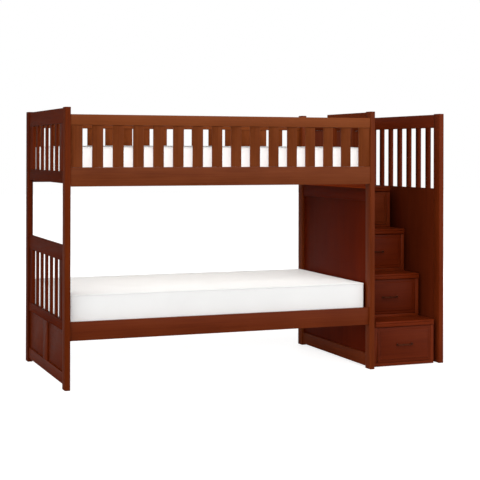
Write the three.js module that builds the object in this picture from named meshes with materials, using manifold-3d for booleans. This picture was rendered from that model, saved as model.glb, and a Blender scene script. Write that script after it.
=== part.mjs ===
// Twin-over-twin bunk bed with a storage staircase, in millimetres, +Z up.
// It is laid out from the left front corner on the floor: x along the bed, y towards the rear.
// The finished group is then moved so that its origin is the middle of its footprint.
import * as THREE from 'three';
import { mergeVertices } from 'three/addons/utils/BufferGeometryUtils.js';
import Module from 'manifold-3d';

const wasm = await Module();
wasm.setup();

// Whole object
const LENGTH = 2524;
const DEPTH = 1106;
const HEIGHT = 1630;
const GAP = 0.3;

// Posts: every frame stands on posts of one section
const POST_X = 32;
const POST_Y = 68;
const BED_INNER = 1930;
const MID_X = POST_X + BED_INNER;
const OUTER_X = LENGTH - POST_X;
const STAIR_FRONT = 50;
const REAR_POST_Y = DEPTH - POST_Y;

// End frames: rails, slats and panels inside the posts' thickness
const RAIL_RECESS = 7;
const RAIL_T = 18;
const SLAT_T = 9;
const SLAT_W = 58;
const STILE_T = 14;
const STILE_W = 120;
const PANEL_RECESS = 16;
const PANEL_T = 6;
const END_TOP = [1536, 1626];
const TENON = 5;

// The outer frame beside the stairs is a little lower than the other two, on a deeper front post
const OUTER_HEIGHT = 1624;
const OUTER_TOP = [1533, 1620];
const OUTER_POST_Y = 76;
const OUTER_PANEL_X = [OUTER_X + RAIL_RECESS - GAP - PANEL_T, OUTER_X + RAIL_RECESS - GAP];

// Guards and side rails along the bed
const GUARD_FRONT = 5;
const GUARD_T = 22;
const GUARD_STILE_W = [71, 76];
const GUARD_GAPS = 15;
const GUARD_SLAT_W = 65;
const GUARD_TOP = [1526, 1588];
const UPPER_RAIL = [1171, 1282];
const LOWER_RAIL = [281, 390];
const LOWER_RAIL_FRONT = 20;
const LEDGER_W = 22;
const LEDGER_H = 22;

// Mattresses and the slats under them
const MATTRESS = { length: 1918, width: 991, height: 190, corner: 12 };
const MATTRESS_LEFT = 38;
const UPPER_BASE = 1215;
const LOWER_BASE = 355;
const BED_SLAT = { count: 13, width: 70, height: 18, inset: 22 };
const WEBBING = { width: 30, thickness: 1.5, inset: 240 };

// Stairs: step boxes that stand clear of the frames on both sides
const STEPS = 4;
const RISE = 282;
const GOING = 197;
const FIRST_FACE = 55;
const BOX_X = [2020, 2453];
const BOX_REAR = 1074;
const BOX_FLOOR = 3;
const BOX_SIDE = 15;
const FRAME_STILE = 23;
const FRAME_DEPTH = 20;
const SHELL_T = 12;
const TREAD_X = [2023, 2450];
const TREAD_TOP = 289;
const TREAD_T = 35;
const NOSING = 13;
const BEAD_RADIUS = 8;
const RUNNER_W = 14;
const RUNNER_H = 12;

// Drawers
const FRONT_Z = [25, 251];
const FRONT_T = 16;
const FRONT_CLEARANCE = 1.5;
const FIELD_INSET = 17;
const FIELD_RISE = 4;
const BOX_DEPTH = 385;
const BOX_WALL = 12;
const BOX_CLEARANCE = 2;
const BOX_Z = [44, 196];
const PULL = { span: 104, reach: 21, radius: 4.5, foot: 8 };

const COLOURS = {
  cherry: 0x6b2c18,
  cherryPanel: 0x55200f,
  plainWood: 0xb9925f,
  ticking: 0xf1f0ec,
  bronze: 0x3a2417,
};

function finish(slot) {
  const metal = slot === 'bronze';
  const roughness = { cherry: 0.42, cherryPanel: 0.48, plainWood: 0.7, ticking: 0.95, bronze: 0.4 };
  return new THREE.MeshStandardMaterial({
    color: COLOURS[slot],
    roughness: roughness[slot],
    metalness: metal ? 0.8 : 0,
  });
}

function part(name, geometry, slot) {
  const mesh = new THREE.Mesh(geometry, finish(slot));
  mesh.name = name;
  return mesh;
}

// A box from its low and high value along each axis
function board([x0, x1], [y0, y1], [z0, z1]) {
  const box = new THREE.BoxGeometry(x1 - x0, y1 - y0, z1 - z0);
  return box.translate((x0 + x1) / 2, (y0 + y1) / 2, (z0 + z1) / 2);
}

function toSolid(geometry) {
  const bare = geometry.clone();
  bare.deleteAttribute('normal');
  bare.deleteAttribute('uv');
  const merged = mergeVertices(bare, 1e-4);
  const mesh = new wasm.Mesh({
    numProp: 3,
    vertProperties: new Float32Array(merged.attributes.position.array),
    triVerts: new Uint32Array(merged.index.array),
  });
  return new wasm.Manifold(mesh);
}

function toGeometry(solid) {
  const mesh = solid.getMesh();
  const geometry = new THREE.BufferGeometry();
  geometry.setAttribute('position', new THREE.BufferAttribute(mesh.vertProperties, 3));
  geometry.setIndex(new THREE.BufferAttribute(mesh.triVerts, 1));
  geometry.computeVertexNormals();
  return geometry;
}

// Joins pieces that are glued up as one
function join(geometries) {
  return toGeometry(geometries.map(toSolid).reduce((all, next) => all.add(next)));
}

// Extrudes an outline drawn in the y-z plane along x
function extrudeAlongX(outline, [x0, x1], curveSegments = 6) {
  const geometry = new THREE.ExtrudeGeometry(outline, {
    depth: x1 - x0,
    bevelEnabled: false,
    curveSegments,
  });
  const basis = new THREE.Matrix4().makeBasis(
    new THREE.Vector3(0, 1, 0),
    new THREE.Vector3(0, 0, 1),
    new THREE.Vector3(1, 0, 0),
  );
  return geometry.applyMatrix4(basis).translate(x0, 0, 0);
}

function inset([low, high], amount) {
  return [low + amount, high - amount];
}

function centred(middle, width) {
  return [middle - width / 2, middle + width / 2];
}

// The stretch of x that a rail, stile, slat or panel of an end frame takes up
function layers(frameX) {
  const rail = [frameX + RAIL_RECESS, frameX + RAIL_RECESS + RAIL_T];
  const middle = (rail[0] + rail[1]) / 2;
  return {
    rail,
    stile: centred(middle, STILE_T),
    slat: centred(middle, SLAT_T),
    panel: [frameX + PANEL_RECESS, frameX + PANEL_RECESS + PANEL_T],
  };
}

function posts() {
  const frames = [
    ['left', 0, [0, POST_Y], HEIGHT],
    ['middle', MID_X, [0, POST_Y], HEIGHT],
    ['outer', OUTER_X, [STAIR_FRONT, STAIR_FRONT + OUTER_POST_Y], OUTER_HEIGHT],
  ];
  return frames.flatMap(([frame, x, front, height]) => {
    const post = (y) => board([x, x + POST_X], y, [0, height]);
    return [
      part(`post_${frame}_front`, post(front), 'cherry'),
      part(`post_${frame}_rear`, post([REAR_POST_Y, DEPTH]), 'cherry'),
    ];
  });
}

// Upright members of a gallery from y ranges, with tenons into its rails
function uprights(ranges, thicknessX, [z0, z1]) {
  return ranges.map((range) => board(thicknessX, range, [z0 - TENON, z1 + TENON]));
}

// Evenly spaced slats that leave the same gap at both ends of a stretch
function slatRanges([low, high], count, width) {
  const gap = (high - low - count * width) / (count + 1);
  return Array.from({ length: count }, (_, i) => {
    const start = low + gap + i * (gap + width);
    return [start, start + width];
  });
}

// A glued-up gallery of two rails, two wide stiles and slats
function gallery(frameX, [y0, y1], lowRail, highRail, slats) {
  const x = layers(frameX);
  const opening = [lowRail[1], highRail[0]];
  const stiles = [[y0, y0 + STILE_W], [y1 - STILE_W, y1]];
  const between = inset([y0, y1], STILE_W);
  return join([
    board(x.rail, [y0, y1], lowRail),
    board(x.rail, [y0, y1], highRail),
    ...uprights(stiles, x.stile, opening),
    ...uprights(slatRanges(between, slats, SLAT_W), x.slat, opening),
  ]);
}

// A stile grooved along both edges to hold the panels beside it
function groovedStile(x, y, z) {
  return join([
    board([x.rail[0], x.panel[0] - GAP], y, z),
    board(x.rail, inset(y, TENON + GAP), z),
    board([x.panel[1] + GAP, x.rail[1]], y, z),
  ]);
}

function leftEnd() {
  const x = layers(0);
  const y = [POST_Y + GAP, REAR_POST_Y - GAP];
  const middle = centred(DEPTH / 2, STILE_W);
  const bottomRail = [25, 93];
  const galleryRail = [335, 393];
  const panelZ = inset([bottomRail[1], galleryRail[0]], GAP);
  const upper = gallery(0, y, [1188, 1257], END_TOP, 5);
  const lower = gallery(0, y, galleryRail, [738, 829], 5);
  return [
    part('left_upper_gallery', upper, 'cherry'),
    part('left_lower_gallery', lower, 'cherry'),
    part('left_bottom_rail', board(x.rail, y, bottomRail), 'cherry'),
    part('left_centre_stile', groovedStile(x, middle, panelZ), 'cherry'),
    part('left_panel_front', board(x.panel, [y[0], middle[0] + TENON], panelZ), 'cherryPanel'),
    part('left_panel_rear', board(x.panel, [middle[1] - TENON, y[1]], panelZ), 'cherryPanel'),
  ];
}

// The frame between the bed and the stairs. Its guard stops short of the rear post: the gap is
// the way in from the landing.
function middleEnd() {
  const x = layers(MID_X);
  const y = [POST_Y + GAP, REAR_POST_Y - GAP];
  const guardY = [y[0], 647];
  const bottomRail = [11, 91];
  const panelRail = [1062, 1140];
  const crossRail = [1140 + GAP, 1252];
  const stiles = [[guardY[0], guardY[0] + STILE_W], [guardY[1] - STILE_W, guardY[1]]];
  const uprightZ = [crossRail[1] + GAP + TENON, END_TOP[0]];
  const guard = join([
    board(x.rail, guardY, END_TOP),
    ...uprights(stiles, x.stile, uprightZ),
    ...uprights(slatRanges(inset(guardY, STILE_W), 2, SLAT_W), x.slat, uprightZ),
  ]);
  return [
    part('middle_guard', guard, 'cherry'),
    part('middle_cross_rail', board(x.rail, y, crossRail), 'cherry'),
    part('middle_panel_rail', board(x.rail, y, panelRail), 'cherry'),
    part('middle_panel', board(x.panel, y, inset([bottomRail[1], panelRail[0]], GAP)), 'cherryPanel'),
    part('middle_bottom_rail', board(x.rail, y, bottomRail), 'cherry'),
  ];
}

// The outer side of the stairs: a railing over a bottom rail, and a tall panel fixed inside both
function outerSide() {
  const x = layers(OUTER_X);
  const y = [STAIR_FRONT + OUTER_POST_Y + GAP, REAR_POST_Y - GAP];
  const pitch = 128.4;
  const slats = 6;
  const firstSlat = 193.5;
  const rail = [1062, 1135];
  const bottomRail = [11, 91];
  const opening = [rail[1], OUTER_TOP[0]];
  const slatY = Array.from({ length: slats }, (_, i) => {
    const start = firstSlat + i * pitch;
    return [start, start + SLAT_W];
  });
  const railing = join([
    board(x.rail, y, rail),
    board(x.rail, y, OUTER_TOP),
    ...uprights(slatY, x.slat, opening),
    ...uprights([[firstSlat + slats * pitch, y[1]]], x.stile, opening),
  ]);
  return [
    part('outer_railing', railing, 'cherry'),
    part('outer_panel', board(OUTER_PANEL_X, y, [BOX_FLOOR, rail[1]]), 'cherryPanel'),
    part('outer_bottom_rail', board(x.rail, y, bottomRail), 'cherry'),
  ];
}

// The back of the stairs, between the two rear posts
function stairBack() {
  const x = [MID_X + POST_X + GAP, OUTER_X - GAP];
  const railY = [1081, 1099];
  const panelY = centred(1090, PANEL_T);
  const bottomRail = [11, 91];
  const panelZ = inset([bottomRail[1], GUARD_TOP[0]], GAP);
  return [
    part('back_top_rail', board(x, railY, GUARD_TOP), 'cherry'),
    part('back_panel', board(x, panelY, panelZ), 'cherryPanel'),
    part('back_bottom_rail', board(x, railY, bottomRail), 'cherry'),
  ];
}

// One long side of the upper bunk. outerY is its outside face and inward is +1 or -1.
function guardSide(side, outerY, inward) {
  const x = [POST_X + GAP, MID_X - GAP];
  const reach = (from, thickness) => [from, from + inward * thickness].sort((a, b) => a - b);
  const face = outerY + inward * GUARD_FRONT;
  const thickness = reach(face, GUARD_T);
  const middle = (thickness[0] + thickness[1]) / 2;
  const bottom = UPPER_RAIL[1] + GAP;
  const opening = [bottom, GUARD_TOP[0] + TENON];
  const between = [x[0] + GUARD_STILE_W[0], x[1] - GUARD_STILE_W[1]];
  const stiles = [[x[0], between[0]], [between[1], x[1]]];
  const slats = slatRanges(between, GUARD_GAPS - 1, GUARD_SLAT_W);
  const upright = (range, t) => board(range, centred(middle, t), opening);
  const guard = join([
    board(x, thickness, GUARD_TOP),
    ...stiles.map((range) => upright(range, STILE_T)),
    ...slats.map((range) => upright(range, SLAT_T)),
  ]);
  const lowerFace = outerY + inward * LOWER_RAIL_FRONT;
  const upperLedgerY = reach(face + inward * (GUARD_T + GAP), LEDGER_W);
  const lowerLedgerY = reach(lowerFace + inward * (GUARD_T + GAP), LEDGER_W);
  const ledgerZ = (base) => {
    const top = base - BED_SLAT.height - 2 * GAP;
    return [top - LEDGER_H, top];
  };
  return [
    part(`${side}_guard`, guard, 'cherry'),
    part(`upper_${side}_rail`, board(x, thickness, UPPER_RAIL), 'cherry'),
    part(`lower_${side}_rail`, board(x, reach(lowerFace, GUARD_T), LOWER_RAIL), 'cherry'),
    part(`upper_${side}_ledger`, board(x, upperLedgerY, ledgerZ(UPPER_BASE)), 'plainWood'),
    part(`lower_${side}_ledger`, board(x, lowerLedgerY, ledgerZ(LOWER_BASE)), 'plainWood'),
  ];
}

// Slats held at their spacing by two strips of webbing stapled underneath
function slatRoll(bunk, base, clearance) {
  const y = [clearance, DEPTH - clearance];
  const z = [base - BED_SLAT.height - GAP, base - GAP];
  const span = inset([POST_X, MID_X], BED_SLAT.inset);
  const pitch = (span[1] - span[0] - BED_SLAT.width) / (BED_SLAT.count - 1);
  const slats = Array.from({ length: BED_SLAT.count }, (_, i) => {
    const start = span[0] + i * pitch;
    return board([start, start + BED_SLAT.width], y, z);
  });
  const bite = 0.5;
  const webbingZ = [z[0] - WEBBING.thickness + bite, z[0] + bite];
  const webbing = [WEBBING.inset, DEPTH - WEBBING.inset].map((middle) =>
    board(inset(span, 10), centred(middle, WEBBING.width), webbingZ));
  return part(`${bunk}_slats`, join([...slats, ...webbing]), 'plainWood');
}

function mattress(bunk, base) {
  const { length, width, height, corner } = MATTRESS;
  const outline = new THREE.Shape();
  outline.absarc(length - corner, width - corner, corner, 0, Math.PI / 2);
  outline.absarc(corner, width - corner, corner, Math.PI / 2, Math.PI);
  outline.absarc(corner, corner, corner, Math.PI, Math.PI * 1.5);
  outline.absarc(length - corner, corner, corner, Math.PI * 1.5, Math.PI * 2);
  outline.closePath();
  const options = { depth: height, bevelEnabled: false, curveSegments: 5 };
  const block = new THREE.ExtrudeGeometry(outline, options);
  block.translate(MATTRESS_LEFT, (DEPTH - width) / 2, base);
  return part(`${bunk}_mattress`, block, 'ticking');
}

function stepFace(step) {
  return FIRST_FACE + step * GOING;
}

// A step box: two sides, floor, back, front frame and a runner strip on each side.
// The tread above closes it.
function stepBox(step) {
  const lift = step * RISE;
  const below = TREAD_TOP + (step - 1) * RISE + GAP;
  const z = [step === 0 ? BOX_FLOOR : below, TREAD_TOP - TREAD_T - GAP + lift];
  const face = stepFace(step);
  const y = [face, BOX_REAR];
  const frameY = [face, face + FRAME_DEPTH];
  const frameBottom = [z[0], FRONT_Z[0] - FRONT_CLEARANCE + lift];
  const inner = inset(BOX_X, BOX_SIDE);
  const runnerZ = [BOX_Z[0] - BOX_CLEARANCE - RUNNER_H + lift, BOX_Z[0] - BOX_CLEARANCE + lift];
  const runnerEnd = face + FRAME_DEPTH + BOX_DEPTH;
  const bite = 2;
  const shell = [
    board([BOX_X[0], inner[0]], y, z),
    board([inner[1], BOX_X[1]], y, z),
    board(BOX_X, y, [z[0], z[0] + SHELL_T]),
    board(BOX_X, [BOX_REAR - SHELL_T, BOX_REAR], z),
    board([BOX_X[0], BOX_X[0] + FRAME_STILE], frameY, z),
    board([BOX_X[1] - FRAME_STILE, BOX_X[1]], frameY, z),
    board(BOX_X, frameY, frameBottom),
  ];
  const runnerY = [face + FRAME_DEPTH - bite, runnerEnd];
  const runnerReach = FRAME_STILE - BOX_SIDE + RUNNER_W;
  const runners = [
    board([inner[0] - bite, inner[0] + runnerReach], runnerY, runnerZ),
    board([inner[1] - runnerReach, inner[1] + bite], runnerY, runnerZ),
  ];
  return part(`step_${step + 1}_box`, join([...shell, ...runners]), 'cherry');
}

// A full-depth tread with a moulded nosing: a bead, a fine groove and a band that eases back
function tread(step) {
  const top = TREAD_TOP + step * RISE;
  const bottom = top - TREAD_T;
  const face = stepFace(step);
  const front = face - NOSING;
  const grooveAngle = (4 / 3) * Math.PI;
  const bandTop = top - 2 * BEAD_RADIUS - 1;
  const outline = new THREE.Shape();
  outline.moveTo(BOX_REAR, bottom);
  outline.lineTo(front + 6, bottom);
  outline.quadraticCurveTo(front + 2, bottom + 4, front + 2, bandTop);
  outline.absarc(front + BEAD_RADIUS, top - BEAD_RADIUS, BEAD_RADIUS, grooveAngle, Math.PI / 2, true);
  outline.lineTo(BOX_REAR, top);
  outline.closePath();
  const name = step === STEPS - 1 ? 'landing' : `tread_${step + 1}`;
  return part(name, extrudeAlongX(outline, TREAD_X), 'cherry');
}

// A drawer front with a raised, chamfered field
function drawerFront(step) {
  const lift = step * RISE;
  const face = stepFace(step);
  const x = inset(BOX_X, FRAME_STILE + FRONT_CLEARANCE);
  const z = [FRONT_Z[0] + lift, FRONT_Z[1] + lift];
  const slab = board(x, [face, face + FRONT_T], z);
  const field = new THREE.Shape();
  const fieldX = inset(x, FIELD_INSET + FIELD_RISE);
  const fieldZ = inset(z, FIELD_INSET + FIELD_RISE);
  field.moveTo(fieldX[0], fieldZ[0]);
  field.lineTo(fieldX[1], fieldZ[0]);
  field.lineTo(fieldX[1], fieldZ[1]);
  field.lineTo(fieldX[0], fieldZ[1]);
  field.closePath();
  const raised = new THREE.ExtrudeGeometry(field, {
    depth: 2,
    bevelEnabled: true,
    bevelSegments: 1,
    bevelSize: FIELD_RISE,
    bevelThickness: FIELD_RISE,
  });
  raised.rotateX(Math.PI / 2).translate(0, face + 2, 0);
  return part(`drawer_${step + 1}_front`, join([slab, raised]), 'cherryPanel');
}

// A drawer box: two sides, back, a front board behind the drawer front, and a bottom
function drawerBox(step) {
  const lift = step * RISE;
  const start = stepFace(step) + FRONT_T + GAP;
  const x = inset(BOX_X, FRAME_STILE + BOX_CLEARANCE);
  const y = [start, start + BOX_DEPTH - FRONT_T];
  const z = [BOX_Z[0] + lift, BOX_Z[1] + lift];
  const bottomZ = [z[0] + 8, z[0] + 14];
  return part(`drawer_${step + 1}_box`, join([
    board([x[0], x[0] + BOX_WALL], y, z),
    board([x[1] - BOX_WALL, x[1]], y, z),
    board(x, [y[0], y[0] + BOX_WALL], z),
    board(x, [y[1] - BOX_WALL, y[1]], z),
    board(inset(x, 2), inset(y, 2), bottomZ),
  ]), 'plainWood');
}

// A bow-shaped bar pull whose two ends turn back to the drawer front
function pull(step) {
  const { span, reach, radius, foot } = PULL;
  const raisedFace = stepFace(step) - FIELD_RISE - GAP;
  const half = span / 2;
  const path = new THREE.CatmullRomCurve3([
    new THREE.Vector3(-half, 0, 0),
    new THREE.Vector3(-half, -reach * 0.55, 0),
    new THREE.Vector3(-half * 0.8, -reach * 0.92, 0),
    new THREE.Vector3(0, -reach, 0),
    new THREE.Vector3(half * 0.8, -reach * 0.92, 0),
    new THREE.Vector3(half, -reach * 0.55, 0),
    new THREE.Vector3(half, 0, 0),
  ]);
  const section = new THREE.Shape();
  section.absellipse(0, 0, radius, radius * 1.3, 0, Math.PI * 2);
  const bar = new THREE.ExtrudeGeometry(section, {
    steps: 24,
    curveSegments: 4,
    extrudePath: path,
    bevelEnabled: false,
  });
  const feet = [-half, half].map((x) => {
    const disc = new THREE.CylinderGeometry(foot, foot, 4, 12);
    return disc.translate(x, -2, 0);
  });
  const x = (BOX_X[0] + BOX_X[1]) / 2;
  const z = (FRONT_Z[0] + FRONT_Z[1]) / 2 + step * RISE;
  const shape = join([bar, ...feet]).translate(x, raisedFace, z);
  return part(`drawer_${step + 1}_pull`, shape, 'bronze');
}

// Battens that fix the top step box to the frames on both sides of it
function stairBearers() {
  const y = [760, 1020];
  const z = [1066, 1100];
  const left = [layers(MID_X).rail[1] + GAP, BOX_X[0] - GAP];
  const right = [BOX_X[1] + GAP, OUTER_PANEL_X[0] - GAP];
  return [
    part('stair_bearer_left', board(left, y, z), 'cherry'),
    part('stair_bearer_right', board(right, y, z), 'cherry'),
  ];
}

const upperSlatEdge = GUARD_FRONT + GUARD_T + 4;
const lowerSlatEdge = LOWER_RAIL_FRONT + GUARD_T + 4;

const group = new THREE.Group();
group.add(...posts());
group.add(...leftEnd());
group.add(...middleEnd());
group.add(...outerSide());
group.add(...stairBack());
group.add(...guardSide('front', 0, 1));
group.add(...guardSide('rear', DEPTH, -1));
group.add(slatRoll('upper', UPPER_BASE, upperSlatEdge));
group.add(slatRoll('lower', LOWER_BASE, lowerSlatEdge));
group.add(mattress('upper', UPPER_BASE));
group.add(mattress('lower', LOWER_BASE));
group.add(...stairBearers());
for (let step = 0; step < STEPS; step += 1) {
  group.add(stepBox(step), tread(step), drawerFront(step), drawerBox(step), pull(step));
}
group.position.set(-LENGTH / 2, -DEPTH / 2, 0);
group.updateMatrixWorld(true);

export default group;
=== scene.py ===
import math

import bpy
import bmesh
from mathutils import Matrix, Vector, noise


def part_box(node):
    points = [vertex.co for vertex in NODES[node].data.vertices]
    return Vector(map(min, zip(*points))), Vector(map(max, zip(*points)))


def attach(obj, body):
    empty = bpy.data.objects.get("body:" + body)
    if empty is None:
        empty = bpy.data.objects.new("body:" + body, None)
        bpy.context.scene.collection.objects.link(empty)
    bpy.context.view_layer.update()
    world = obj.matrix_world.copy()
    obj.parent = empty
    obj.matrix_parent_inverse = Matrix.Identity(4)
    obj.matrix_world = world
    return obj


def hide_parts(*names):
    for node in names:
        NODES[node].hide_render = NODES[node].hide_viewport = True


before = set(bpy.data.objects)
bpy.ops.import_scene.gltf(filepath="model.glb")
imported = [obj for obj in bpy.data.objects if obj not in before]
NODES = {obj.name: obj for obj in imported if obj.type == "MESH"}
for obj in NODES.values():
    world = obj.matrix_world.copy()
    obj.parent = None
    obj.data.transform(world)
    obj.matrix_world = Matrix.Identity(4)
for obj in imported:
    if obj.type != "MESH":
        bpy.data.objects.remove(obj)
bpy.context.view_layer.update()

# Camera, in the row frame: place, turn to the right of +Y, tilt and roll, lens and frame shift
CAMERA_AT = Vector((-2.8828, -7.3800, 1.3785))
CAMERA_YAW = math.radians(21.373)
CAMERA_TILT = math.radians(0.113)
CAMERA_ROLL = math.radians(0.135)
CAMERA_LENS = 90.98
CAMERA_SHIFT = (0.0077, -0.1905)

# Stained cherry-coloured finish, from the darkest to the lightest tone, and the other surfaces
CHERRY = ((0.090, 0.0120, 0.0020), (0.121, 0.0177, 0.0032), (0.152, 0.0250, 0.0052))

# How much each piece's stain is scaled, as factors on red, green and blue. Besides real differences
# in the stain, the factors paint in light, shade and sheen: pieces that catch more light and a
# reflected sheen get brighter, greyer copies of the stain, and pieces in shade get darker ones. A
# piece takes the first entry that its name starts with, and plain CHERRY if there is none.
STAIN_AND_LIGHT_SHIFTS = {
    "front_guard": (1.62, 2.45, 3.0),
    "upper_front_rail": (1.47, 2.20, 3.1),
    "rear_guard": (1.75, 2.60, 2.80),
    "post_middle": (1.25, 1.40, 1.25),
    "post_outer": (1.30, 1.25, 1.20),
    "outer_railing": (1.26, 1.10, 1.20),
    "outer_panel": (1.10, 1.02, 1.20),
    "middle_panel": (0.83, 0.47, 0.16),
    "middle_bottom_rail": (1.25, 1.40, 1.50),
    "middle_cross_rail": (2.20, 1.70, 0.72),
    "middle_guard": (1.15, 1.20, 1.10),
    "lower_front_rail": (1.15, 1.25, 1.30),
    "left_lower_gallery": (0.82, 0.64, 0.42),
    "left_": (0.98, 0.85, 0.62),
    "post_left_rear": (0.77, 0.62, 0.38),
    "post_left": (1.10, 1.12, 0.85),
    "drawer_2": (0.86, 0.64, 0.43),
    "drawer_3": (1.06, 0.77, 0.43),
    "drawer_4": (1.25, 1.25, 1.35),
    "drawer_": (1.00, 0.84, 0.80),
    "step_": (1.25, 1.10, 1.00),
    "tread_": (1.25, 1.02, 0.80),
    "landing": (1.25, 1.12, 1.10),
}
PINE = ((0.36, 0.205, 0.085), (0.52, 0.33, 0.155), (0.64, 0.44, 0.235))
TICKING = (0.97, 0.97, 0.96)
BRONZE = (0.085, 0.020, 0.008)
BRONZE_RUBBED = (0.20, 0.080, 0.035)

# How much each group of pieces shines, and how rough their surfaces are. The first entry that a
# name starts with counts, as for the stains.
SHINES = {"left_lower_gallery": 0.012, "left_": 0.035, "middle_": 0.035, "post_left": 0.035, "": 0.08}
SATIN = 0.42
SANDED = 0.62
DRAWER_SANDED = 0.55

# Lattices: the axis their rails run along, the heights between which their slats stand, the
# slats' spacing, how much painted highlight brightens their rails, and how bright the bottom rail
# stays under painted shade (1 for none)
LATTICES = {
    "left_upper_gallery": ("Y", (1.257, 1.536), 0.1313, 0.0, 0.6),
    "left_lower_gallery": ("Y", (0.393, 0.738), 0.1313, 0.0, 1.0),
    "middle_guard": ("Y", (1.2523, 1.536), 0.1323, 0.0, 1.0),
    "outer_railing": ("Y", (1.135, 1.533), 0.1284, 0.0, 1.0),
    "front_guard": ("X", (1.2823, 1.526), 0.1233, 0.45, 1.0),
    "rear_guard": ("X", (1.2823, 1.526), 0.1233, 0.0, 1.0),
}

# Eased edges, in metres
EDGE_RADIUS = 0.0016
POST_EDGE_RADIUS = 0.0025
EDGE_ANGLE = math.radians(40)
CREASE_ANGLE = math.radians(50)
WELD_REACH = 0.00002

# Mattresses: rounded edges, mesh spacing, and how far the filling swells and crowns the cover
MATTRESS_EDGE = 0.012
MATTRESS_PITCH = 0.014
MATTRESS_SWELL = 0.003
MATTRESS_CROWN = 0.0045
MATTRESS_UNEVENNESS = 0.0012
COVER_PRESSURE = 4.0
COVER_STIFFNESS = 40
CLOTH_STEPS = 20
BASE_LIFT = 0.0005
TAPE_RADIUS = 0.0026
TAPE_SIDES = 8
TAPE_LIFT = 0.0008

# The studio: light comes mostly from the front and the left, and fades round to the back
LIGHT_FROM = (-0.45, -0.88, -0.12)
LIGHT_LEVEL = 1.74
LIGHT_FLOOR = 0.10
LIGHT_SPREAD = (-0.25, 0.60)
FLOOR_GLOW = 0.80
FLOOR_GREY = 0.50
FLOOR_REACH = 30
FLOOR_DROP = 0.0006

# Soft lights that the camera doesn't see, in watts, and how far they stand off
FRONT_FILL = {"lower": 0.11, "upper": 0.78}
END_FILL = 0.30
TOP_FILL = 2.5
TOP_FILL_OVER = 0.05
FLOOR_FILL = 2.5
FLOOR_FILL_UNDER = 0.06
BACK_FILL = 160
BACK_FILL_AT = (3.2, 6.0, 3.4)
BACK_FILL_TO = (0.2, 0, 0.8)
BACK_FILL_SIZE = (4.0, 3.0)


class Graph:
    """A material's node tree, with short ways to add and join its nodes."""

    def __init__(self, name):
        self.material = bpy.data.materials.new(name)
        self.material.use_nodes = True
        self.tree = self.material.node_tree
        self.shader = self.tree.nodes["Principled BSDF"]

    def plug(self, socket, value):
        if isinstance(value, bpy.types.NodeSocket):
            self.tree.links.new(value, socket)
        else:
            socket.default_value = value

    def node(self, kind, inputs=(), **settings):
        node = self.tree.nodes.new("ShaderNode" + kind)
        for key, value in settings.items():
            setattr(node, key, value)
        for key, value in dict(inputs).items():
            self.plug(node.inputs[key], value)
        return node

    def math(self, operation, a, b=0.0, c=0.0):
        inputs = {0: a, 1: b, 2: c}
        return self.node("Math", inputs, operation=operation).outputs[0]

    def mix(self, factor, a, b):
        """Blends two colours."""
        node = self.node("Mix", data_type="RGBA")
        self.plug(node.inputs[0], factor)
        for socket, value in ((node.inputs[6], a), (node.inputs[7], b)):
            self.plug(socket, value if isinstance(value, bpy.types.NodeSocket) else (*value, 1))
        return node.outputs[2]

    def ramp(self, factor, low, high):
        """0 below low, 1 above high, smooth between."""
        inputs = {"Value": factor, "From Min": low, "From Max": high}
        return self.node("MapRange", inputs, interpolation_type="SMOOTHSTEP").outputs[0]

    def noise(self, vector, scale=1.0, detail=2.0, roughness=0.5):
        inputs = {"Vector": vector, "Scale": scale, "Detail": detail, "Roughness": roughness}
        return self.node("TexNoise", inputs).outputs[0]

    def place(self):
        return self.node("TexCoord").outputs["Object"]

    def split(self, vector):
        return self.node("SeparateXYZ", {0: vector}).outputs

    def join(self, x, y, z):
        return self.node("CombineXYZ", {0: x, 1: y, 2: z}).outputs[0]

    def times(self, vector, factors):
        return self.node("VectorMath", {0: vector, 1: factors}, operation="MULTIPLY").outputs[0]

    def plus(self, a, b):
        return self.node("VectorMath", {0: a, 1: b}, operation="ADD").outputs[0]

    def edge_mask(self, radius, start, end):
        """0 on flat faces, rising to 1 on edges, as if they were rounded by a radius."""
        rounded = self.node("Bevel", {"Radius": radius}, samples=4).outputs[0]
        true_normal = self.node("NewGeometry").outputs["True Normal"]
        inputs = {0: rounded, 1: true_normal}
        facing = self.node("VectorMath", inputs, operation="DOT_PRODUCT").outputs[1]
        return self.ramp(facing, start, end)

    def bump(self, height, distance, strength=1.0):
        inputs = {"Height": height, "Distance": distance, "Strength": strength}
        self.plug(self.shader.inputs["Normal"], self.node("Bump", inputs).outputs[0])


def grain_space(g, place, axis):
    """Turns the point so that its first coordinate runs along the grain."""
    x, y, z = g.split(place)
    order = {"X": (x, y, z), "Y": (y, z, x), "Z": (z, x, y)}[axis]
    return g.join(*order)


def lattice_space(g, place, lattice):
    """Grain space of a glued-up lattice, where each slat is a board of its own. The second result
    is 1 where the slats stand and 0 on the rails."""
    axis, (low, high), pitch = lattice[:3]
    x, y, z = g.split(place)
    standing = g.math("MULTIPLY", g.math("GREATER_THAN", z, low), g.math("LESS_THAN", z, high))
    board = g.math("FLOOR", g.math("DIVIDE", x if axis == "X" else y, pitch))
    shift = g.node("TexWhiteNoise", {"W": board}, noise_dimensions="1D").outputs[1]
    upright = g.plus(grain_space(g, place, "Z"), g.times(shift, (3.0, 3.0, 3.0)))
    pick = g.node("Mix", {0: standing}, data_type="VECTOR")
    g.plug(pick.inputs[4], grain_space(g, place, axis))
    g.plug(pick.inputs[5], upright)
    return pick.outputs[1], standing


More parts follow.
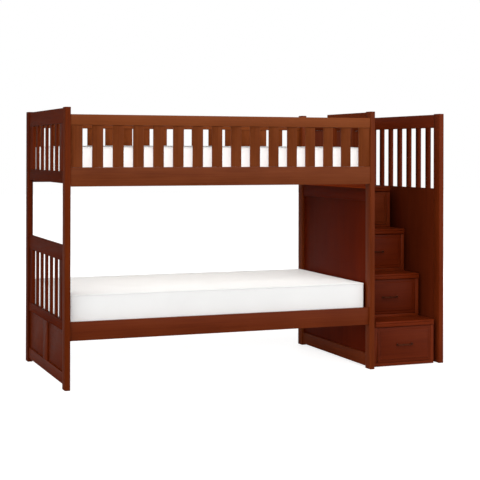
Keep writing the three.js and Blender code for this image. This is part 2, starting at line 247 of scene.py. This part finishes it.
def timber_colour(g, along, tones):
    """Fine fibres, a slow figure and blotches, and dark pores. Also gives fibres and pores."""
    fibres = g.noise(g.times(along, (2.4, 150, 150)), detail=4, roughness=0.6)
    pores = g.noise(g.times(along, (16, 700, 700)), detail=1)
    figure_field = g.noise(g.times(along, (0.55, 6, 6)), detail=1.5)
    figure = g.math("SINE", g.math("MULTIPLY", figure_field, 30.0))
    figure = g.math("MULTIPLY_ADD", figure, 0.5, 0.5)
    blotches = g.noise(g.times(along, (2.6, 6, 6)), detail=2)

    tone = g.math("MULTIPLY_ADD", g.ramp(fibres, 0.30, 0.70), 0.34, 0.09)
    tone = g.math("MULTIPLY_ADD", figure, 0.14, tone)
    tone = g.math("MULTIPLY_ADD", g.ramp(blotches, 0.25, 0.75), 0.34, tone)
    dark, middle, light = tones
    colour = g.mix(g.ramp(tone, 0.05, 0.55), dark, middle)
    colour = g.mix(g.ramp(tone, 0.45, 1.0), colour, light)
    pore_mask = g.math("MULTIPLY", g.ramp(pores, 0.60, 0.72), 0.35)
    return g.mix(pore_mask, colour, dark), fibres, pore_mask


def wear_and_highlight_edges(g, place, colour, light):
    """Stain rubbed thin on the edges, together with a painted highlight there: edges are blended
    towards the light tone.
    """
    patches = g.ramp(g.noise(g.times(place, (30, 30, 30)), detail=3), 0.35, 0.7)
    edge_mask = g.math("MULTIPLY", g.edge_mask(0.0035, 0.995, 0.86), patches)
    return g.mix(g.math("MULTIPLY", edge_mask, 0.35), colour, light)


def paint_rail_light_and_joints(g, place, colour, tones, lattice, standing):
    """Brightens a lattice's rails with a painted highlight, darkens its bottom rail with painted
    shade, and draws the joints with its slats.
    """
    dark, _, light = tones
    _, heights, _, rail_highlight, foot_light = lattice
    z = g.split(place)[2]
    lying = g.math("SUBTRACT", 1.0, standing)
    # Painted highlight: the rails are blended towards the light tone.
    colour = g.mix(g.math("MULTIPLY", lying, rail_highlight), colour, light)
    # Painted shade: below the slats the bottom rail is blended towards a near-black copy of the dark
    # tone.
    under = g.math("MULTIPLY", g.math("LESS_THAN", z, heights[0]), 1.0 - foot_light)
    colour = g.mix(under, colour, tuple(c * 0.2 for c in dark))
    for height in heights:
        away = g.math("ABSOLUTE", g.math("SUBTRACT", z, height))
        line = g.math("MULTIPLY", g.ramp(away, 0.0016, 0.0004), 0.6)
        colour = g.mix(line, colour, tuple(c * 0.45 for c in dark))
    return colour


def wood(name, tones, axis, seed, gloss=SATIN, shine=SHINES[""], lattice=None):
    """Straight-grained timber whose grain runs along an axis, or along a lattice's members."""
    g = Graph(name)
    place = g.place()
    if lattice:
        along, standing = lattice_space(g, place, lattice)
    else:
        along = grain_space(g, place, axis)
    along = g.plus(along, (seed * 1.37, seed * 0.71, seed * 2.13))
    colour, fibres, pore_mask = timber_colour(g, along, tones)
    # Edges: partly stain rubbed thin, partly a painted highlight.
    colour = wear_and_highlight_edges(g, place, colour, tones[2])
    if lattice:
        colour = paint_rail_light_and_joints(g, place, colour, tones, lattice, standing)

    g.plug(g.shader.inputs["Base Color"], colour)
    rough = g.math("MULTIPLY_ADD", fibres, 0.16, gloss - 0.08)
    g.plug(g.shader.inputs["Roughness"], g.math("MULTIPLY_ADD", pore_mask, 0.3, rough))
    g.shader.inputs["Specular IOR Level"].default_value = shine
    height = g.math("SUBTRACT", g.math("MULTIPLY", fibres, 0.6), pore_mask)
    g.bump(height, 0.0004, 0.35)
    return g.material


def by_name(table, name):
    """The first entry whose key the name starts with."""
    return next((value for start, value in table.items() if name.startswith(start)), None)


def stain(name):
    """The stain's tones on one piece, scaled by factors that also paint in the light, shade and sheen
    the piece shows.
    """
    factors = by_name(STAIN_AND_LIGHT_SHIFTS, name)
    if not factors:
        return CHERRY
    return tuple(tuple(c * f for c, f in zip(tone, factors)) for tone in CHERRY)


def fabric(name, colour):
    """White knitted mattress cover with a fine weave and soft unevenness."""
    g = Graph(name)
    place = g.place()
    x, y, z = g.split(place)
    threads = []
    for direction in (x, y, z):
        wave = g.math("SINE", g.math("MULTIPLY", direction, 2 * math.pi / 0.0016))
        threads.append(g.math("MULTIPLY_ADD", wave, 0.5, 0.5))
    weave = g.math("MULTIPLY", g.math("ADD", threads[0], threads[2]), threads[1])
    weave = g.math("MAXIMUM", weave, g.math("MULTIPLY", threads[0], threads[2]))
    soft = g.noise(g.times(place, (7, 7, 7)), detail=3)
    slub = g.noise(g.times(place, (60, 500, 500)), detail=2)
    shade = g.math("MULTIPLY_ADD", weave, 0.10, g.math("MULTIPLY", soft, 0.5))
    shade = g.math("MULTIPLY_ADD", g.ramp(slub, 0.55, 0.8), 0.2, shade)
    darker = tuple(c * 0.93 for c in colour)
    g.plug(g.shader.inputs["Base Color"], g.mix(shade, colour, darker))
    g.shader.inputs["Roughness"].default_value = 0.93
    g.shader.inputs["Sheen Weight"].default_value = 0.25
    g.shader.inputs["Sheen Roughness"].default_value = 0.5
    height = g.math("MULTIPLY_ADD", soft, 3.0, weave)
    g.bump(height, 0.0006, 0.45)
    return g.material


def bronze(name):
    """Dark bronzed metal, rubbed brighter along its edges."""
    g = Graph(name)
    place = g.place()
    patina = g.noise(g.times(place, (90, 90, 90)), detail=4)
    edge = g.edge_mask(0.002, 0.99, 0.85)
    colour = g.mix(g.ramp(patina, 0.35, 0.7), BRONZE, tuple(c * 1.9 for c in BRONZE))
    colour = g.mix(g.math("MULTIPLY", edge, 0.5), colour, BRONZE_RUBBED)
    g.plug(g.shader.inputs["Base Color"], colour)
    g.shader.inputs["Metallic"].default_value = 0.85
    g.plug(g.shader.inputs["Roughness"], g.math("MULTIPLY_ADD", patina, 0.25, 0.30))
    g.bump(patina, 0.0003, 0.25)
    return g.material


def stage_material(name, glow):
    """Pale floor that glows for the camera and lights nothing."""
    g = Graph(name)
    seen = g.node("LightPath").outputs["Is Camera Ray"]
    g.shader.inputs["Base Color"].default_value = (FLOOR_GREY, FLOOR_GREY, FLOOR_GREY, 1)
    g.shader.inputs["Roughness"].default_value = 0.9
    g.shader.inputs["Specular IOR Level"].default_value = 0.1
    g.shader.inputs["Emission Color"].default_value = (1, 1, 1, 1)
    g.plug(g.shader.inputs["Emission Strength"], g.math("MULTIPLY", seen, glow))
    return g.material


def dress(piece, material):
    """Gives a carried-over piece its material and joins its loose corners for smooth shading."""
    piece.data.materials.clear()
    piece.data.materials.append(material)
    weld = piece.modifiers.new("weld", "WELD")
    weld.merge_threshold = WELD_REACH
    for polygon in piece.data.polygons:
        polygon.use_smooth = True


def finish_board(piece, material, radius):
    """Timber with eased edges."""
    dress(piece, material)
    bevel = piece.modifiers.new("eased_edges", "BEVEL")
    bevel.width = radius
    bevel.segments = 2
    bevel.limit_method = "ANGLE"
    bevel.angle_limit = EDGE_ANGLE
    bevel.harden_normals = True


def finish_pull(piece, material):
    """Metal that is smooth round its bar and sharp at its feet."""
    dress(piece, material)
    split = piece.modifiers.new("creases", "EDGE_SPLIT")
    split.split_angle = CREASE_ANGLE


def grain_axis(name, size):
    """Along the longest side, except on wide boards."""
    if name.startswith("step"):
        return "Y"
    if name.startswith("tread") or name == "landing":
        return "X"
    if name.startswith("drawer") and name.endswith("_front"):
        return "X"
    return "XYZ"[max(range(3), key=lambda i: size[i])]


def timber(name, seed, size):
    """The timber of one piece: sanded pine inside, stained cherry outside."""
    if name.endswith("_slats"):
        return wood(f"pine_{name}", PINE, "Y", seed, gloss=SANDED)
    if name.startswith("drawer") and name.endswith("_box"):
        return wood(f"pine_{name}", PINE, "Y", seed, gloss=DRAWER_SANDED)
    axis = grain_axis(name, size)
    shine = by_name(SHINES, name)
    lattice = LATTICES.get(name)
    # These tones carry painted light and shade: each piece's stain is made brighter or darker by how
    # it is lit.
    return wood(f"stain_and_light_{name}", stain(name), axis, seed, shine=shine, lattice=lattice)


def finish_nodes():
    metal = bronze("dark_bronze")
    for seed, name in enumerate(sorted(NODES)):
        low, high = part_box(name)
        if name.endswith("_mattress"):
            continue
        if name.endswith("_pull"):
            finish_pull(NODES[name], metal)
            continue
        radius = POST_EDGE_RADIUS if name.startswith("post_") else EDGE_RADIUS
        finish_board(NODES[name], timber(name, seed, high - low), radius)


def marks(length, edge, pitch, rounds=3):
    """Distances along one side of a block, closer together where its edges are rounded."""
    rounding = [edge * k / rounds for k in range(rounds)]
    count = max(2, round((length - 2 * edge) / pitch))
    flat = [edge + (length - 2 * edge) * k / count for k in range(count + 1)]
    return rounding + flat + [length - t for t in reversed(rounding)]


def block(name, low, high, edge, pitch):
    """A closed block with an even mesh and rounded edges."""
    size = high - low
    ticks = [marks(size[i], edge, pitch) for i in range(3)]
    mesh = bmesh.new()
    found = {}

    def corner(i, j, k):
        if (i, j, k) not in found:
            flat = Vector((ticks[0][i], ticks[1][j], ticks[2][k]))
            core = Vector(min(max(flat[n], edge), size[n] - edge) for n in range(3))
            out = flat - core
            reach = out.normalized() * edge if out.length > 0 else out
            found[i, j, k] = mesh.verts.new(low + core + reach)
        return found[i, j, k]

    for normal in range(3):
        across, up = (normal + 1) % 3, (normal + 2) % 3
        for side in (0, len(ticks[normal]) - 1):
            for a in range(len(ticks[across]) - 1):
                for b in range(len(ticks[up]) - 1):
                    loop = []
                    for da, db in ((0, 0), (1, 0), (1, 1), (0, 1)):
                        index = [0, 0, 0]
                        index[normal], index[across], index[up] = side, a + da, b + db
                        loop.append(corner(*index))
                    mesh.faces.new(loop if side else loop[::-1])
    data = bpy.data.meshes.new(name)
    mesh.to_mesh(data)
    mesh.free()
    piece = bpy.data.objects.new(name, data)
    bpy.context.scene.collection.objects.link(piece)
    return piece


def apply_modifiers(piece):
    graph = bpy.context.evaluated_depsgraph_get()
    shaped = bpy.data.meshes.new_from_object(piece.evaluated_get(graph))
    piece.modifiers.clear()
    piece.data = shaped


def swell(piece):
    """Inflates the cover a little, as filling does, and caps how far any point moves."""
    rest = [v.co.copy() for v in piece.data.vertices]
    cloth = piece.modifiers.new("cloth", "CLOTH")
    cloth.settings.use_pressure = True
    cloth.settings.uniform_pressure_force = COVER_PRESSURE
    cloth.settings.effector_weights.gravity = 0.0
    cloth.settings.tension_stiffness = COVER_STIFFNESS
    cloth.settings.compression_stiffness = COVER_STIFFNESS
    scene = bpy.context.scene
    for step in range(1, CLOTH_STEPS + 1):
        scene.frame_set(step)
    apply_modifiers(piece)
    scene.frame_set(1)
    for vertex, start in zip(piece.data.vertices, rest):
        move = vertex.co - start
        if move.length > MATTRESS_SWELL:
            vertex.co = start + move * (MATTRESS_SWELL / move.length)


def crown(piece, low, high):
    """A gentle crown on the top, flat underneath where the block lies on its slats."""
    middle = (low + high) / 2
    half = (high - low) / 2
    for vertex in piece.data.vertices:
        u = min(1.0, abs(vertex.co.x - middle.x) / half.x)
        v = min(1.0, abs(vertex.co.y - middle.y) / half.y)
        over = max(0.0, (vertex.co.z - middle.z) / half.z)
        lift = MATTRESS_CROWN * over * (1 - u ** 6) * (1 - v ** 4)
        place = Vector((vertex.co.x * 2.2, vertex.co.y * 3.1, vertex.co.z))
        vertex.co.z += lift + MATTRESS_UNEVENNESS * over * noise.noise(place)
        vertex.co.z = max(vertex.co.z, low.z + BASE_LIFT)


def ring(low, high, r, height, step=0.02):
    """Points round a rectangle with corners of radius r, at one height."""
    x0, x1 = low.x, high.x
    y0, y1 = low.y, high.y
    points = []
    corners = (
        (x1 - r, y0 + r, -math.pi / 2), (x1 - r, y1 - r, 0.0),
        (x0 + r, y1 - r, math.pi / 2), (x0 + r, y0 + r, math.pi),
    )
    for i, (cx, cy, start) in enumerate(corners):
        for k in range(9):
            angle = start + k / 8 * math.pi / 2
            points.append(Vector((cx + r * math.cos(angle), cy + r * math.sin(angle), height)))
        nx, ny, begin = corners[(i + 1) % 4]
        target = Vector((nx + r * math.cos(begin), ny + r * math.sin(begin), height))
        gap = target - points[-1]
        count = max(1, int(gap.length / step))
        last = points[-1].copy()
        points += [last + gap * (k / count) for k in range(1, count)]
    return points


def tape(name, mattress, rings, material):
    """The sewn tape that binds a mattress's top and bottom edges."""
    mesh = bmesh.new()
    sides = TAPE_SIDES
    for points in rings:
        hooked = []
        for point in points:
            found, spot, normal, _ = mattress.closest_point_on_mesh(point)
            hooked.append(spot + normal * TAPE_LIFT if found else point)
        loops = []
        count = len(hooked)
        for i, point in enumerate(hooked):
            forward = (hooked[(i + 1) % count] - hooked[i - 1]).normalized()
            outward = forward.cross(Vector((0, 0, 1))).normalized()
            upward = outward.cross(forward).normalized()
            loops.append([
                mesh.verts.new(
                    point
                    + outward * (TAPE_RADIUS * math.cos(2 * math.pi * k / sides))
                    + upward * (TAPE_RADIUS * 1.5 * math.sin(2 * math.pi * k / sides))
                )
                for k in range(sides)
            ])
        for i in range(count):
            here, there = loops[i], loops[(i + 1) % count]
            for k in range(sides):
                j = (k + 1) % sides
                mesh.faces.new((here[k], there[k], there[j], here[j]))
    bmesh.ops.recalc_face_normals(mesh, faces=mesh.faces)
    data = bpy.data.meshes.new(name)
    mesh.to_mesh(data)
    mesh.free()
    for polygon in data.polygons:
        polygon.use_smooth = True
    data.materials.append(material)
    piece = bpy.data.objects.new(name, data)
    bpy.context.scene.collection.objects.link(piece)
    return piece


def make_cover(low, high, material):
    """One mattress's cover, filled out and crowned."""
    slack = MATTRESS_SWELL
    inner_low = low + Vector((slack, slack, BASE_LIFT))
    inner_high = high - Vector((slack, slack, slack))
    cover = block("lower_mattress_cover", inner_low, inner_high, MATTRESS_EDGE, MATTRESS_PITCH)
    swell(cover)
    crown(cover, inner_low, inner_high)
    divide = cover.modifiers.new("smooth", "SUBSURF")
    divide.levels = divide.render_levels = 1
    apply_modifiers(cover)
    for polygon in cover.data.polygons:
        polygon.use_smooth = True
    cover.data.materials.clear()
    cover.data.materials.append(material)
    return cover


def make_mattresses():
    binding = fabric("mattress_binding", tuple(c * 0.97 for c in TICKING))
    low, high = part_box("lower_mattress")
    lower = make_cover(low, high, fabric("mattress_cover", TICKING))
    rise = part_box("upper_mattress")[0].z - low.z
    upper = bpy.data.objects.new("upper_mattress_cover", lower.data.copy())
    bpy.context.scene.collection.objects.link(upper)
    upper.data.transform(Matrix.Translation((0, 0, rise)))
    for cover, bunk, lift in ((lower, "lower", 0.0), (upper, "upper", rise)):
        heights = (low.z + lift + MATTRESS_EDGE / 2, high.z + lift - MATTRESS_EDGE / 2)
        rings = [ring(low, high, MATTRESS_EDGE, height) for height in heights]
        bound = tape(f"{bunk}_mattress_tape", cover, rings, binding)
        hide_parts(f"{bunk}_mattress")
        for made in (cover, bound):
            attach(made, "frame")


def area_light(name, place, target, size, power):
    """A soft light that neither the camera nor a reflection shows."""
    data = bpy.data.lights.new(name, "AREA")
    data.shape = "RECTANGLE"
    data.size, data.size_y = size
    data.energy = power
    light = bpy.data.objects.new(name, data)
    light.location = place
    light.rotation_euler = (Vector(target) - Vector(place)).to_track_quat("-Z", "Y").to_euler()
    light.visible_camera = False
    light.visible_glossy = False
    bpy.context.scene.collection.objects.link(light)


def make_floor():
    mesh = bmesh.new()
    bmesh.ops.create_grid(mesh, x_segments=1, y_segments=1, size=FLOOR_REACH)
    data = bpy.data.meshes.new("floor")
    mesh.to_mesh(data)
    mesh.free()
    floor = bpy.data.objects.new("floor", data)
    floor.location.z = -FLOOR_DROP
    bpy.context.scene.collection.objects.link(floor)
    data.materials.append(stage_material("pale_floor", FLOOR_GLOW))


def make_sky():
    """White round the camera's view, and a soft dome of light from the front and left."""
    world = bpy.data.worlds.new("studio")
    bpy.context.scene.world = world
    world.use_nodes = True
    tree = world.node_tree
    background = tree.nodes["Background"]
    background.inputs[0].default_value = (1, 1, 1, 1)
    place = tree.nodes.new("ShaderNodeTexCoord")
    facing = tree.nodes.new("ShaderNodeVectorMath")
    facing.operation = "DOT_PRODUCT"
    facing.inputs[1].default_value = Vector(LIGHT_FROM).normalized()
    tree.links.new(place.outputs["Generated"], facing.inputs[0])
    soft = tree.nodes.new("ShaderNodeMapRange")
    soft.interpolation_type = "SMOOTHSTEP"
    soft.inputs["From Min"].default_value, soft.inputs["From Max"].default_value = LIGHT_SPREAD
    soft.inputs["To Min"].default_value = LIGHT_FLOOR
    soft.inputs["To Max"].default_value = LIGHT_LEVEL
    tree.links.new(facing.outputs["Value"], soft.inputs["Value"])
    path = tree.nodes.new("ShaderNodeLightPath")
    level = tree.nodes.new("ShaderNodeMapRange")
    level.inputs["To Max"].default_value = 1.0
    tree.links.new(path.outputs["Is Camera Ray"], level.inputs["Value"])
    tree.links.new(soft.outputs[0], level.inputs["To Min"])
    tree.links.new(level.outputs[0], background.inputs[1])


def light_mattress_sides(bunk):
    """Lights on a mattress's left end and front, where slats and rails shade it."""
    low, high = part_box(f"{bunk}_mattress")
    middle = (low + high) / 2
    size = high - low
    end = (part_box(f"left_{bunk}_gallery")[1].x + low.x) / 2
    at = (end, middle.y, middle.z)
    area_light(f"{bunk}_end_fill", at, middle, (size.y, size.z + 0.02), END_FILL)
    front = (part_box("front_guard")[1].y + low.y) / 2
    at = (middle.x, front, middle.z)
    area_light(f"{bunk}_front_fill", at, middle, (size.x, size.z + 0.03), FRONT_FILL[bunk])


def light_lower_bunk():
    """Lights just above the lower mattress and just under it, facing down."""
    low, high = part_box("lower_mattress")
    middle = (low + high) / 2
    size = (high.x - low.x, high.y - low.y)
    at = (middle.x, middle.y, high.z + TOP_FILL_OVER)
    area_light("top_fill", at, middle, size, TOP_FILL)
    at = (middle.x, middle.y, low.z - FLOOR_FILL_UNDER)
    area_light("floor_fill", at, (middle.x, middle.y, 0), size, FLOOR_FILL)


def make_lights():
    for bunk in ("lower", "upper"):
        light_mattress_sides(bunk)
    light_lower_bunk()
    area_light("back_fill", BACK_FILL_AT, BACK_FILL_TO, BACK_FILL_SIZE, BACK_FILL)


def make_camera():
    forward = Vector((
        math.sin(CAMERA_YAW) * math.cos(CAMERA_TILT),
        math.cos(CAMERA_YAW) * math.cos(CAMERA_TILT),
        math.sin(CAMERA_TILT),
    ))
    right = Vector((math.cos(CAMERA_YAW), -math.sin(CAMERA_YAW), 0))
    up = right.cross(forward)
    across = right * math.cos(CAMERA_ROLL) + up * math.sin(CAMERA_ROLL)
    over = up * math.cos(CAMERA_ROLL) - right * math.sin(CAMERA_ROLL)
    data = bpy.data.cameras.new("camera")
    data.lens = CAMERA_LENS
    data.sensor_width = 36
    data.shift_x, data.shift_y = CAMERA_SHIFT
    camera = bpy.data.objects.new("camera", data)
    turn = Matrix((across, over, -forward)).transposed().to_4x4()
    camera.matrix_world = Matrix.Translation(CAMERA_AT) @ turn
    bpy.context.scene.collection.objects.link(camera)
    bpy.context.scene.camera = camera


bpy.context.scene.view_settings.view_transform = "Standard"
make_camera()
make_floor()
make_sky()
make_lights()
finish_nodes()
make_mattresses()
